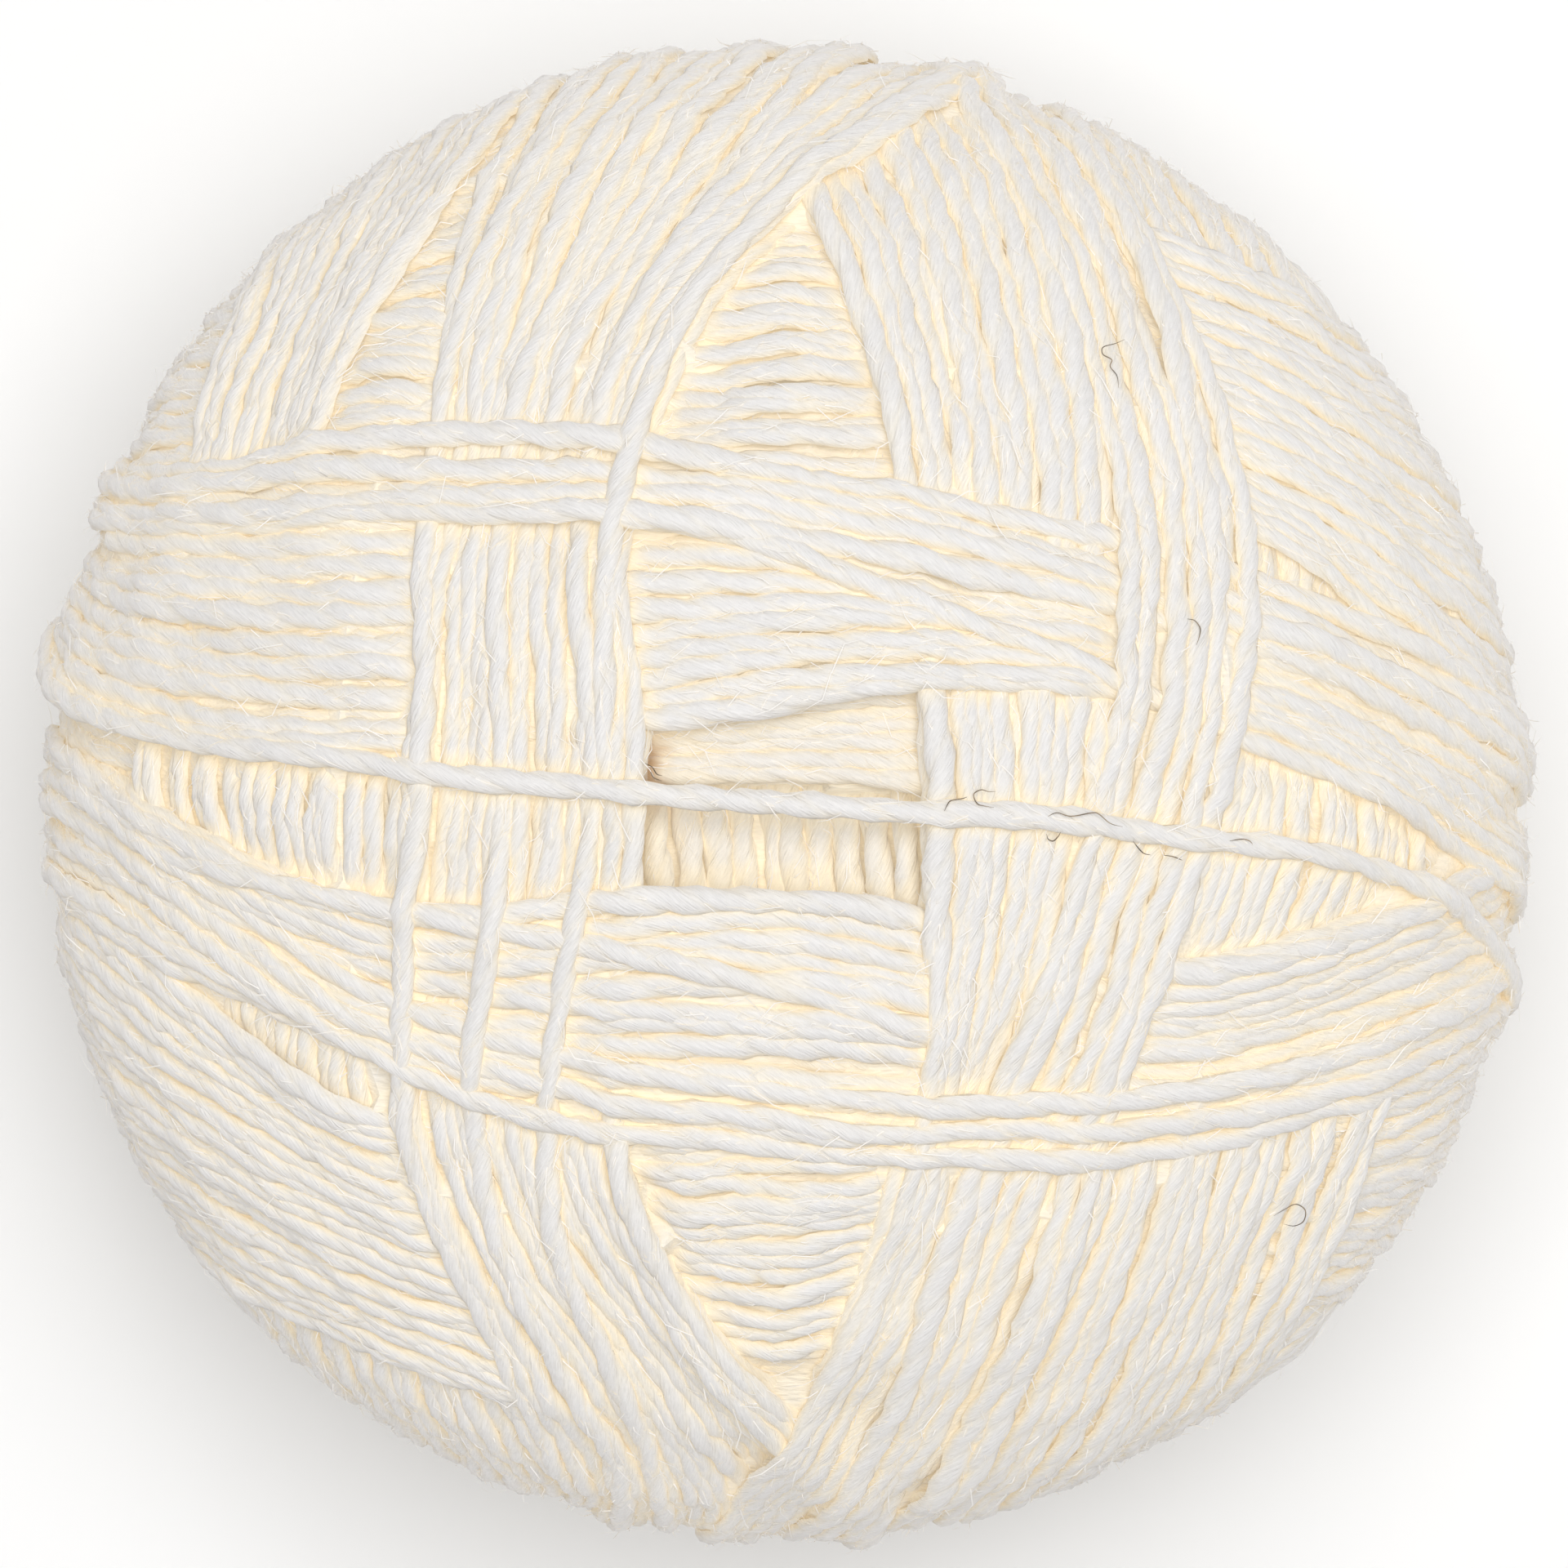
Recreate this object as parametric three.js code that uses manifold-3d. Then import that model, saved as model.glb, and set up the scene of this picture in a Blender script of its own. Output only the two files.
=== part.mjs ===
// A ball of two-ply wool, wound by machine round a spindle: an oblate ball with a hollow at its upper
// pole, resting on a small flat spot at its lower one. Turns of yarn lie side by side in bands, which cross
// in a pinwheel round the hollow. The solid has the wound form, its bands and their main ropes of turns.
// Millimetres, +Z up along the winding axis, origin at the middle of the flat spot.
import * as THREE from "three";
import { mergeVertices } from "three/addons/utils/BufferGeometryUtils.js";
import Module from "manifold-3d";

const BALL_DIAMETER = 86;
const BALL_HEIGHT = 58;
const YARN_DIAMETER = 1.35;

// Under the outer ropes lies a plain oblate core of earlier turns, whose lowest cap is pressed flat.
const RELIEF = 1.6; // how far the outer ropes stand above the core
const PRESSED = 2.3; // what the flat spot takes off the lower pole
const CORE_RADIUS = BALL_DIAMETER / 2 - RELIEF;
const CORE_HALF_HEIGHT = (BALL_HEIGHT + PRESSED) / 2 - RELIEF;
const CORE_FULLNESS = 2.15; // 2 is an ellipsoid, and more is fuller at the shoulders

const TURNS_PER_ROPE = 5;
const ROPE_WIDTH = TURNS_PER_ROPE * YARN_DIAMETER;
const ROPE_CROWN = 1.3; // how far a rope's middle stands above what it lies on
const ROPE_SINK = 0.5; // the share of a crossing that the soft wool takes up
const ROUTE_POINTS = 160;
const BRIDGED_POINTS = 7; // a taut rope bridges this many route points each way
const BALL_DETAIL = 22;

// The hollow that the spindle leaves, seen from above, and its depth below the upper pole.
const HOLLOW_LENGTH = 16.5;
const HOLLOW_WIDTH = 11.2;
const HOLLOW_DEPTH = 9;
const HOLLOW_CENTRE = { x: 0.5, y: -0.8 };
const HOLLOW_TURN = THREE.MathUtils.degToRad(-4);
const HOLLOW_SQUARENESS = 3; // the exponent of its outline: 2 is an ellipse
const HOLLOW_SIDES = 36;
const HOLLOW_SECTIONS = [
  { depth: -4, size: 1.5 },
  { depth: -1.2, size: 1.3 },
  { depth: 0.8, size: 1.06 },
  { depth: 3, size: 0.94 },
  { depth: 6, size: 0.85 },
  { depth: 8, size: 0.68 },
  { depth: HOLLOW_DEPTH, size: 0.4 },
];

// Each band runs over the top along x or y and back underneath. first and last give its outermost ropes'
// sideways distance from the winding axis at the near rim, a quarter, the middle, three quarters and the
// far rim of the view from above, and then at the middle of the underside. Bands are laid in this order,
// so a later one lies over an earlier one.
const BANDS = [
  { axis: "x", ropes: 4, first: [29, 35, 36, 35, 30], last: [15, 21, 20, 19.5, 15], under: [33, 19] },
  { axis: "x", ropes: 4, first: [-13, -19, -21, -21, -18], last: [-30, -34, -36, -34, -30], under: [-19, -33] },
  { axis: "y", ropes: 4, first: [-30, -35, -36, -35, -30], last: [-17, -24, -22, -24, -15], under: [-33, -19] },
  { axis: "y", ropes: 4, first: [30, 34, 36, 34, 28], last: [14, 21, 23, 23, 15], under: [34, 20] },
  { axis: "y", ropes: 4, first: [-3, 9, 9.5, 8, -1], last: [5, 17, 21.5, 22.5, 11], under: [-17, -9] },
  { axis: "x", ropes: 3, first: [11.5, 17, 16, 14.4, 10], last: [8, 6.5, 7.5, 7, -6], under: [10, 18] },
  { axis: "y", ropes: 3, first: [-11, -19, -18.3, -16.5, -9], last: [-3, -10.5, -10, -9.3, 8], under: [8, 16] },
  { axis: "x", ropes: 3, first: [2.5, -8.6, -9.4, -8.2, -7], last: [-9, -15.8, -18.6, -18.1, -14], under: [-9, -17] },
  { axis: "y", ropes: 2, first: [0, 14, 16.5, 19, 8], last: [4, 16, 21.5, 23.5, 12], under: [-12, -18] },
  { axis: "x", ropes: 1, first: [12, 18, 17, 17, 13], last: [12, 18, 17, 17, 13], under: [14, 14] },
];
const STATIONS = [-1, -0.5, 0, 0.5, 1];

// The core's radius in a direction from the ball's centre.
function coreRadius(direction) {
  const across = Math.hypot(direction.x, direction.y) / CORE_RADIUS;
  const up = Math.abs(direction.z) / CORE_HALF_HEIGHT;
  return (across ** CORE_FULLNESS + up ** CORE_FULLNESS) ** (-1 / CORE_FULLNESS);
}

// The closed route of one rope as directions from the ball's centre.
function ropeRoute(band, share) {
  const offsets = band.first.map((start, i) => THREE.MathUtils.lerp(start, band.last[i], share));
  const under = THREE.MathUtils.lerp(band.under[0], band.under[1], share);
  const radius = BALL_DIAMETER / 2;
  const routePoint = (station, sideways, side) => {
    const halfChord = Math.sqrt(radius ** 2 - sideways ** 2);
    const along = station * halfChord;
    const z = (side * BALL_HEIGHT * Math.sqrt(Math.max(0, 1 - station ** 2)) * halfChord) / BALL_DIAMETER;
    const forward = band.axis === "x";
    return new THREE.Vector3(forward ? along : sideways, forward ? sideways : along, z);
  };
  const top = STATIONS.map((station, i) => routePoint(station, offsets[i], 1));
  const farUnder = (2 * under + offsets[4]) / 3;
  const nearUnder = (2 * under + offsets[0]) / 3;
  const bottom = [routePoint(0.5, farUnder, -1), routePoint(0, under, -1), routePoint(-0.5, nearUnder, -1)];
  const loop = new THREE.CatmullRomCurve3([...top, ...bottom], true, "centripetal");
  return loop.getPoints(ROUTE_POINTS).slice(0, -1).map((point) => point.normalize());
}

// The index of the direction in the list that lies nearest to the one wanted, and the angle between them.
function nearest(directions, wanted) {
  let best = -1;
  let index = 0;
  for (let i = 0; i < directions.length; i += 1) {
    const closeness = directions[i].dot(wanted);
    if (closeness > best) {
      best = closeness;
      index = i;
    }
  }
  return { index, angle: Math.acos(Math.min(1, best)) };
}

// Lays one rope on the ball: it rests on what is there, pulled straight, and raises the surface under it.
function layRope(route, directions, radii) {
  const under = route.map((direction) => radii[nearest(directions, direction).index]);
  const count = route.length;
  const resting = under.map((own, i) => {
    let sum = 0;
    for (let step = -BRIDGED_POINTS; step <= BRIDGED_POINTS; step += 1) {
      sum += under[(i + step + count) % count];
    }
    const core = coreRadius(route[i]);
    const bridged = sum / (2 * BRIDGED_POINTS + 1);
    return core + (1 - ROPE_SINK) * Math.max(0, bridged - core);
  });
  directions.forEach((direction, i) => {
    const { index, angle } = nearest(route, direction);
    const sideways = (angle * resting[index]) / (ROPE_WIDTH / 2);
    if (sideways < 1) {
      const crown = resting[index] + ROPE_CROWN * Math.sqrt(1 - sideways ** 2);
      radii[i] = Math.max(radii[i], crown);
    }
  });
}

// The ball before its hollow and flat spot, drawn up to its full size with its lowest point at z = 0.
function woundBall() {
  const sphere = new THREE.IcosahedronGeometry(1, BALL_DETAIL);
  sphere.deleteAttribute("normal");
  sphere.deleteAttribute("uv");
  const ball = mergeVertices(sphere, 1e-5);
  const positions = ball.getAttribute("position");
  const directions = [];
  for (let i = 0; i < positions.count; i += 1) {
    directions.push(new THREE.Vector3().fromBufferAttribute(positions, i).normalize());
  }
  const radii = directions.map(coreRadius);
  for (const band of BANDS) {
    for (let rope = 0; rope < band.ropes; rope += 1) {
      layRope(ropeRoute(band, band.ropes > 1 ? rope / (band.ropes - 1) : 0), directions, radii);
    }
  }
  directions.forEach((direction, i) => {
    positions.setXYZ(i, direction.x * radii[i], direction.y * radii[i], direction.z * radii[i]);
  });
  ball.computeBoundingBox();
  const { min, max } = ball.boundingBox;
  ball.translate(-(min.x + max.x) / 2, -(min.y + max.y) / 2, -min.z);
  const widest = Math.max(max.x - min.x, max.y - min.y);
  ball.scale(BALL_DIAMETER / widest, BALL_DIAMETER / widest, (BALL_HEIGHT + PRESSED) / (max.z - min.z));
  return ball.translate(0, 0, -PRESSED);
}

// What the hollow takes out: a tapering plug with a rounded rectangular outline and a flared mouth.
function hollowPlug() {
  const corners = [];
  const outlinePoint = (section, side) => {
    const angle = (side / HOLLOW_SIDES) * 2 * Math.PI;
    const squared = (value) => Math.sign(value) * Math.abs(value) ** (2 / HOLLOW_SQUARENESS);
    return new THREE.Vector3(
      (squared(Math.cos(angle)) * HOLLOW_LENGTH * section.size) / 2,
      (squared(Math.sin(angle)) * HOLLOW_WIDTH * section.size) / 2,
      BALL_HEIGHT - section.depth,
    );
  };
  const addTriangle = (...points) => points.forEach((point) => corners.push(point));
  const lid = new THREE.Vector3(0, 0, BALL_HEIGHT - HOLLOW_SECTIONS[0].depth);
  const floor = new THREE.Vector3(0, 0, BALL_HEIGHT - HOLLOW_DEPTH);
  for (let side = 0; side < HOLLOW_SIDES; side += 1) {
    const next = side + 1;
    addTriangle(lid, outlinePoint(HOLLOW_SECTIONS[0], side), outlinePoint(HOLLOW_SECTIONS[0], next));
    HOLLOW_SECTIONS.slice(1).forEach((lower, i) => {
      const upper = HOLLOW_SECTIONS[i];
      addTriangle(outlinePoint(upper, side), outlinePoint(lower, side), outlinePoint(lower, next));
      addTriangle(outlinePoint(upper, side), outlinePoint(lower, next), outlinePoint(upper, next));
    });
    const lowest = HOLLOW_SECTIONS[HOLLOW_SECTIONS.length - 1];
    addTriangle(outlinePoint(lowest, side), floor, outlinePoint(lowest, next));
  }
  const plug = new THREE.BufferGeometry().setFromPoints(corners);
  plug.rotateZ(HOLLOW_TURN).translate(HOLLOW_CENTRE.x, HOLLOW_CENTRE.y, 0);
  return mergeVertices(plug, 1e-4);
}

function floorBlock() {
  const block = new THREE.BoxGeometry(2 * BALL_DIAMETER, 2 * BALL_DIAMETER, BALL_HEIGHT);
  block.deleteAttribute("normal");
  block.deleteAttribute("uv");
  return mergeVertices(block.translate(0, 0, -BALL_HEIGHT / 2));
}

const wasm = await Module();
wasm.setup();

function solidFrom(geometry) {
  return new wasm.Manifold(
    new wasm.Mesh({
      numProp: 3,
      vertProperties: new Float32Array(geometry.getAttribute("position").array),
      triVerts: new Uint32Array(geometry.index.array),
    }),
  );
}

function geometryFrom(solid) {
  const mesh = solid.getMesh();
  const geometry = new THREE.BufferGeometry();
  geometry.setAttribute("position", new THREE.BufferAttribute(mesh.vertProperties, 3));
  geometry.setIndex(new THREE.BufferAttribute(mesh.triVerts, 1));
  return geometry;
}

function yarnBall() {
  const hollowed = solidFrom(woundBall()).subtract(solidFrom(hollowPlug()));
  const geometry = geometryFrom(hollowed.subtract(solidFrom(floorBlock())));
  geometry.computeBoundingBox();
  geometry.computeVertexNormals();
  const wool = new THREE.MeshStandardMaterial({ color: 0xf3ede2, roughness: 0.95, metalness: 0 });
  const ball = new THREE.Mesh(geometry, wool);
  ball.name = "yarn_ball";
  const middle = geometry.boundingBox.getCenter(new THREE.Vector3());
  ball.position.set(-middle.x, -middle.y, 0);
  return ball;
}

const part = new THREE.Group();
part.add(yarnBall());
export default part;
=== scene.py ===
import math
from collections import namedtuple
from functools import reduce

import bpy
import numpy as np
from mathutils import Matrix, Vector


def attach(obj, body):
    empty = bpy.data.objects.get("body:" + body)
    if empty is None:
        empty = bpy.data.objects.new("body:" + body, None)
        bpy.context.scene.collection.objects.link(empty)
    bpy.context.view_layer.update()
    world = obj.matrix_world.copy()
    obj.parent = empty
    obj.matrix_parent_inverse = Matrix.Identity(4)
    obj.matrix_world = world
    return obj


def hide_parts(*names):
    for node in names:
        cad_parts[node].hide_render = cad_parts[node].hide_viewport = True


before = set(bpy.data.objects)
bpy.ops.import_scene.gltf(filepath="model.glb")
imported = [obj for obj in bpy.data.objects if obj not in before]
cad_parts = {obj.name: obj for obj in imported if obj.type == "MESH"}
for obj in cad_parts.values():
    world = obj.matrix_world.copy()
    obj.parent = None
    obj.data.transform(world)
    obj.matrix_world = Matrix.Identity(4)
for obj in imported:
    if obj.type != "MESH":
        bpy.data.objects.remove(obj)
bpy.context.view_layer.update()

# Millimetres are used throughout, and made into metres as each mesh is written.
MM = 0.001
rng = np.random.default_rng(11)
PHASE = (0, 6.3)         # range of a wave's random start

# The ball.
HALF_WIDTH = 42.2        # of its nominal surface, which the last turns stand on
HALF_HEIGHT = 29.4
ROUNDNESS = 2.1          # exponent of its outline from the side, 2 being an ellipse
CENTRE_HEIGHT = 27.85    # of its centre, above the surface that it rests on
CENTRE = np.array([0, 0, CENTRE_HEIGHT])
CAMERA_DISTANCE = 700.0  # from its centre
LOWEST = 0.05            # how near the wool comes to the surface that it rests on
# How far the widest line departs from a circle: (lobes round the ball, amount, direction of a peak in degrees).
OUTLINE_LOBES = [(2, 0.35, 125.0), (3, 0.25, 100.0)]
LOBE_FADE = 4            # exponent by which the lobes die out towards the poles

# The yarn.
YARN_ACROSS = 0.72       # half its width, and its slightly pressed half height
YARN_UP = 0.60
POINTS = 330             # round each turn
STRAY_WAVES = ((3, 0.2), (7, 0.18), (13, 0.13), (19, 0.08))   # (waves round a turn, most sideways reach)
LOOSE = 0.42             # how far a turn strays from its even place in its band
STRAY_LIFT = 0.1         # how far it rises and sinks among its neighbours
LIFT_WAVES = ((2, 5), (9, 16))   # fewest and most waves of that, round a turn
LAY_STEP = 0.02          # each turn of a band lies this much higher than the one before, so that edges show
SINK = 0.72              # how far the soft yarn settles into what it lies on
SINGLE_SINK = 0.9        # the same for the few strands that lie alone
CROSSING_SINK = 0.65     # and for the last one
ROOM_SHARE = 0.67        # of the way to its neighbours, which a strand spreads over
NARROWEST, WIDEST = 0.64, 0.82   # half widths between which it stays

# A band is a row of turns side by side. Its turns run over the top along x (from left to right) or along y
# (from near to far), and back underneath, or for z round the ball's waist. first and last give its outermost
# turns' sideways distances from the winding axis, as seen from the camera, at the eight stations round the
# turn. Each turn is laid as two halves, before and after its middle, so that bands lie over and under each
# other as in a pinwheel: start and end are the two halves' places in the order of laying. depth is how far
# below the nominal surface the yarn's middle may sink where nothing carries it, and dip is how much deeper
# it sags at the hollow.
STATIONS = np.radians([-90.0, -58.0, -30.0, 0.0, 30.0, 58.0, 90.0, 180.0])
FEW_TURNS = 4            # a band with fewer turns is made of single strands
Band = namedtuple("Band", "name axis turns start end depth dip first last")


def strand(name, axis, start, end, depth, places):
    """A band of one turn."""
    return Band(name, axis, 1, start, end, depth, 0, places, places)


BANDS = [
    Band("girth", "z", 24, -0.2, -0.2, 1.4, 0,
         (-17, -15, -18, -17, -14, -17, -18, -16), (16, 18, 15, 14, 17, 18, 14, 16)),
    Band("inner_up", "y", 10, -0.3, -0.3, 2.2, 4.6,
         (-6, -4, -5.5, -8.2, -8, -1, 1, -8), (8, 9, 8, 7.4, 6, 10, 12, 8)),
    Band("inner_along", "x", 5, -0.1, -0.1, 1.8, 3.2,
         (7.8, 3.8, 2.9, 5.0, 4, -1.5, -5.7, 8), (5.0, 1.6, 0.2, 1.6, -1.5, -5.6, -10.8, 12)),
    Band("outer_left", "y", 20, 0.0, 0.5, 1.2, 0,
         (-28, -32, -35, -36, -35, -31.5, -28, -30), (-10.5, -14.5, -24, -22, -26, -19.2, -13.5, -12)),
    Band("outer_far", "x", 22, 0.1, 0.6, 1.2, 0,
         (31, 33, 35.5, 36, 34.5, 29.8, 26.4, 30), (17, 18, 19, 17, 18, 9.2, 3.2, 12)),
    Band("outer_right", "y", 19, 0.7, 0.2, 1.2, 0,
         (25, 30, 34, 36, 35, 31, 27, 30), (7, 12, 18, 24, 25, 20, 15, 12)),
    Band("outer_near", "x", 22, 0.8, 0.3, 1.2, 0,
         (-25, -30, -34.5, -36, -35, -29.5, -27.5, -30), (-3, -10, -19, -19, -19, -17, -13, -12)),
    Band("lower_far", "x", 12, 1.0, 1.0, 1.8, 0,
         (17, 17, 18, 16, 13, 7, 2, 14), (8, 4, 3, 5.4, 5.0, -1, -6, 8)),
    Band("lower_left", "y", 15, 1.1, 1.1, 1.8, 0,
         (-10, -11, -19, -19, -18, -14, -9, -14), (4, 2, -9.6, -8.2, -7.8, 4, 11, -8)),
    Band("lower_near", "x", 12, 1.2, 1.2, 1.8, 0,
         (-5, -9, -15, -18, -18, -15, -12, -14), (3, -1, -7, -6.3, -10, -6, -3, -8)),
    Band("lower_right", "y", 13, 1.3, 1.3, 1.8, 0,
         (6, 11, 17, 23, 24, 19, 14, 14), (-4, 0.5, 6.8, 8.5, 5.8, 1, -1, 8)),
    Band("far", "x", 10, 2.0, 3.3, 0.9, 0,
         (16, 15.4, 15.6, 15.2, 11.4, 5.6, 1.6, 14), (8.7, 4.1, 2.9, 5.6, 5.7, -0.4, -5.9, 8)),
    Band("left", "y", 17, 3.0, 2.3, 0.9, 0,
         (-11.3, -13, -21, -20.6, -19.2, -16.5, -12, -14), (4.5, 2, -9.4, -8.7, -7.9, 4.1, 12, -8)),
    Band("near", "x", 11, 3.1, 2.1, 0.9, 0,
         (-4, -7.6, -15, -18.0, -18.0, -15, -11.5, -14), (3.2, -0.7, -6.8, -5.9, -10.4, -5.7, -2.9, -8)),
    strand("near_slant", "x", 3.15, 2.5, 0.8, (0, -2.5, -6.4, -10.6, -16.4, -13, -9, -10)),
    Band("right", "y", 10, 3.2, 2.2, 0.9, 0,
         (1, 6, 12, 17, 17, 13, 8, 14), (-4.3, 0.3, 7.0, 9.0, 5.9, 0.8, -1.5, 8)),
    strand("far_slant", "x", 3.4, 3.9, 0.7, (18, 16.5, 17, 13.6, 5.3, -1.5, -6.5, 12)),
    Band("far_top", "x", 4, 4.0, 4.0, 0.6, 0,
         (19, 18.3, 19.7, 18.3, 13.9, 8.3, 3.4, 16), (16, 14.6, 15.6, 14.6, 10.2, 4.4, 0, 12)),
    Band("right_top", "y", 6, 4.2, 4.2, 0.6, 0,
         (6.9, 11.5, 17.5, 23.8, 25, 19.6, 15.2, 14), (0, 5.5, 11.0, 17.5, 18.2, 13.4, 8.7, 10)),
    Band("near_high", "x", 2, 4.25, 4.25, 0.6, 0,
         (-0.6, -4.4, -14, -18.0, -18.2, -15, -11, -14), (1, -3, -12.4, -16.4, -16.8, -13.4, -9.4, -12)),
    strand("left_edge", "y", 2.9, 4.3, 0.5, (3, 0, -9.4, -9.7, -8.0, 3.5, 10.6, -10)),
    Band("left_corner", "y", 3, 4.35, 2.6, 0.5, 0,
         (-12, -14, -20.9, -20.2, -19.6, -14, -9, -14), (-7, -8, -13.4, -11.2, -10.6, -2, 3, -12)),
    strand("near_last", "x", 4.4, 4.4, 0.5, (-2, -5.7, -15.6, -19.6, -19.7, -16.4, -12.6, -14)),
    strand("crossing", "x", 5.0, 5.0, 0.3, (8.3, 3.7, 1.5, -0.2, -1.9, -5.4, -11.5, 9)),
]
DIP_REACH = 0.75         # radians each way along a turn over which the dip fades
HANDOVER = 0.22          # sine over which one half of a turn passes into the other, half of it either way
LEAST_CHORD = 0.05       # keeps a turn far out to the side from shrinking to nothing


def nominal_radius(directions):
    """Distance from the ball's centre to its nominal surface, in each direction."""
    across = np.hypot(directions[:, 0], directions[:, 1])
    around = np.arctan2(directions[:, 1], directions[:, 0])
    width = np.full(len(directions), HALF_WIDTH)
    for lobes, amount, peak in OUTLINE_LOBES:
        width += amount * np.cos(lobes * (around - math.radians(peak))) * across ** LOBE_FADE
    upright = np.abs(directions[:, 2]) / HALF_HEIGHT
    return ((across / width) ** ROUNDNESS + upright ** ROUNDNESS) ** (-1 / ROUNDNESS)


def resting_radius(directions, above):
    """How far out a point may lie that stays this far above the surface the ball rests on."""
    least_fall = 1e-6
    return (CENTRE_HEIGHT - above) / np.maximum(least_fall, -directions[:, 2])


def closed_spline(knots, values, places):
    """A smooth closed curve through values at knots, one turn being 2 pi, read at places."""
    count = len(knots)
    gaps = np.diff(np.append(knots, knots[0] + 2 * math.pi))
    slopes = np.diff(np.append(values, values[0])) / gaps
    system = np.zeros((count, count))
    for i in range(count):
        before = gaps[i - 1]
        system[i, i - 1] += before
        system[i, i] += 2 * (before + gaps[i])
        system[i, (i + 1) % count] += gaps[i]
    bends = np.linalg.solve(system, 6 * (slopes - np.roll(slopes, 1)))
    turned = (places - knots[0]) % (2 * math.pi)
    cell = np.searchsorted(knots - knots[0], turned, side="right") - 1
    after = (cell + 1) % count
    gap = gaps[cell]
    t = turned - (knots[cell] - knots[0])
    rest = gap - t
    bent = (bends[cell] * rest ** 3 + bends[after] * t ** 3) / (6 * gap)
    from_here = (values[cell] / gap - bends[cell] * gap / 6) * rest
    from_next = (values[after] / gap - bends[after] * gap / 6) * t
    return bent + from_here + from_next


def unit(vectors):
    return vectors / np.linalg.norm(vectors, axis=-1, keepdims=True)


# The surface map holds the wool's height in every direction. It has six faces, as a cube has.
FACE_CELLS = 230         # along a face


def cells(directions):
    """The cell of the surface map that each direction falls in."""
    major = np.argmax(np.abs(directions), axis=-1)
    rows = np.arange(len(directions))
    along = directions[rows, major]

    def place(side):
        slope = directions[rows, (major + side) % 3] / np.abs(along)
        share = (np.arctan(slope) * 4 / math.pi + 1) / 2
        return np.clip((share * FACE_CELLS).astype(int), 0, FACE_CELLS - 1)

    return ((major * 2 + (along < 0)) * FACE_CELLS + place(1)) * FACE_CELLS + place(2)


def map_directions():
    """The direction at the middle of every cell of the surface map."""
    count = 6 * FACE_CELLS ** 2
    faces, i, j = np.unravel_index(np.arange(count), (6, FACE_CELLS, FACE_CELLS))
    major = faces // 2
    rows = np.arange(count)
    directions = np.zeros((count, 3))
    directions[rows, major] = np.where(faces % 2 == 0, 1.0, -1.0)
    for side, place in ((1, i), (2, j)):
        slope = np.tan(((place + 0.5) / FACE_CELLS * 2 - 1) * math.pi / 4)
        directions[rows, (major + side) % 3] = slope
    return unit(directions)


def shifted(grid, reach, axis):
    """The grid moved by each number of cells up to the reach, both ways along one axis."""
    for shift in range(-reach, reach + 1):
        index = np.clip(np.arange(FACE_CELLS) + shift, 0, FACE_CELLS - 1)
        yield np.take(grid, index, axis=axis)


def spread(heights, reach, choose):
    """The highest or lowest value within this many cells each way."""
    grid = heights.reshape(6, FACE_CELLS, FACE_CELLS)
    for axis in (1, 2):
        grid = reduce(choose, shifted(grid, reach, axis))
    return grid.reshape(-1)


def blurred(heights, reach):
    """The heights averaged over this many cells each way."""
    grid = heights.reshape(6, FACE_CELLS, FACE_CELLS)
    for axis in (1, 2):
        grid = sum(shifted(grid, reach, axis)) / (2 * reach + 1)
    return grid.reshape(-1)


class Turn:
    """One closed turn of yarn: its route as directions from the ball's centre, and its radius there."""

    def __init__(self, band, offsets):
        psi = np.linspace(0, 2 * math.pi, POINTS, endpoint=False) - math.pi
        offset = closed_spline(STATIONS, np.array(offsets, float), psi)
        for waves, most in STRAY_WAVES:
            offset = offset + rng.uniform(0, most) * np.sin(waves * psi + rng.uniform(*PHASE))
        self.offset = offset
        chord = np.sqrt(np.maximum(LEAST_CHORD, 1 - (offset / HALF_WIDTH) ** 2))
        along = HALF_WIDTH * chord * np.sin(psi)
        up = HALF_HEIGHT * chord * np.cos(psi)
        nearer = 1 - np.maximum(up, 0) / CAMERA_DISTANCE
        along, offset = along * nearer, offset * nearer
        if band.axis == "x":
            route = [along, offset, up]
        elif band.axis == "y":
            route = [offset, along, up]
        else:
            reach = HALF_WIDTH * np.sqrt(1 - (offset / HALF_HEIGHT) ** 2)
            route = [reach * np.cos(psi), reach * np.sin(psi), offset / nearer]
        self.directions = unit(np.stack(route, axis=1))
        self.cells = cells(self.directions)
        sag = np.cos(np.clip(psi / DIP_REACH, -1, 1) * math.pi / 2) ** 2
        self.radius = nominal_radius(self.directions) - (band.depth + band.dip * sag)
        # 1 on the half after the middle of the top, 0 on the one before, and in between near both joins.
        self.share = np.clip(0.5 + np.sin(psi) / HANDOVER, 0, 1)
        self.lift = np.zeros(POINTS)
        for fewest, most in LIFT_WAVES:
            self.lift += STRAY_LIFT * np.sin(round(rng.uniform(fewest, most)) * psi + rng.uniform(*PHASE))
        self.half = np.full(POINTS, YARN_ACROSS)
        self.single = band.turns < FEW_TURNS
        self.sink = SINGLE_SINK if self.single else SINK
        if band.name == "crossing":
            self.sink = CROSSING_SINK


def sideways(turn, points):
    tangent = np.roll(points, -1, axis=0) - np.roll(points, 1, axis=0)
    return unit(np.cross(turn.directions, tangent))


def crown(offset):
    """Height of the yarn's top above its middle, this far to the side."""
    return YARN_UP * math.sqrt(max(0.0, 1 - (offset / YARN_ACROSS) ** 2))


def fill_room(row):
    """Soft yarn spreads over the room that it has: sets the half width of each turn of a band."""
    gaps = [np.abs(after.offset - before.offset) for before, after in zip(row, row[1:])]
    for index, turn in enumerate(row):
        beside = gaps[max(0, index - 1):index + 1]
        turn.half = np.clip(ROOM_SHARE * np.mean(beside, axis=0), NARROWEST, WIDEST)


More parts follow.
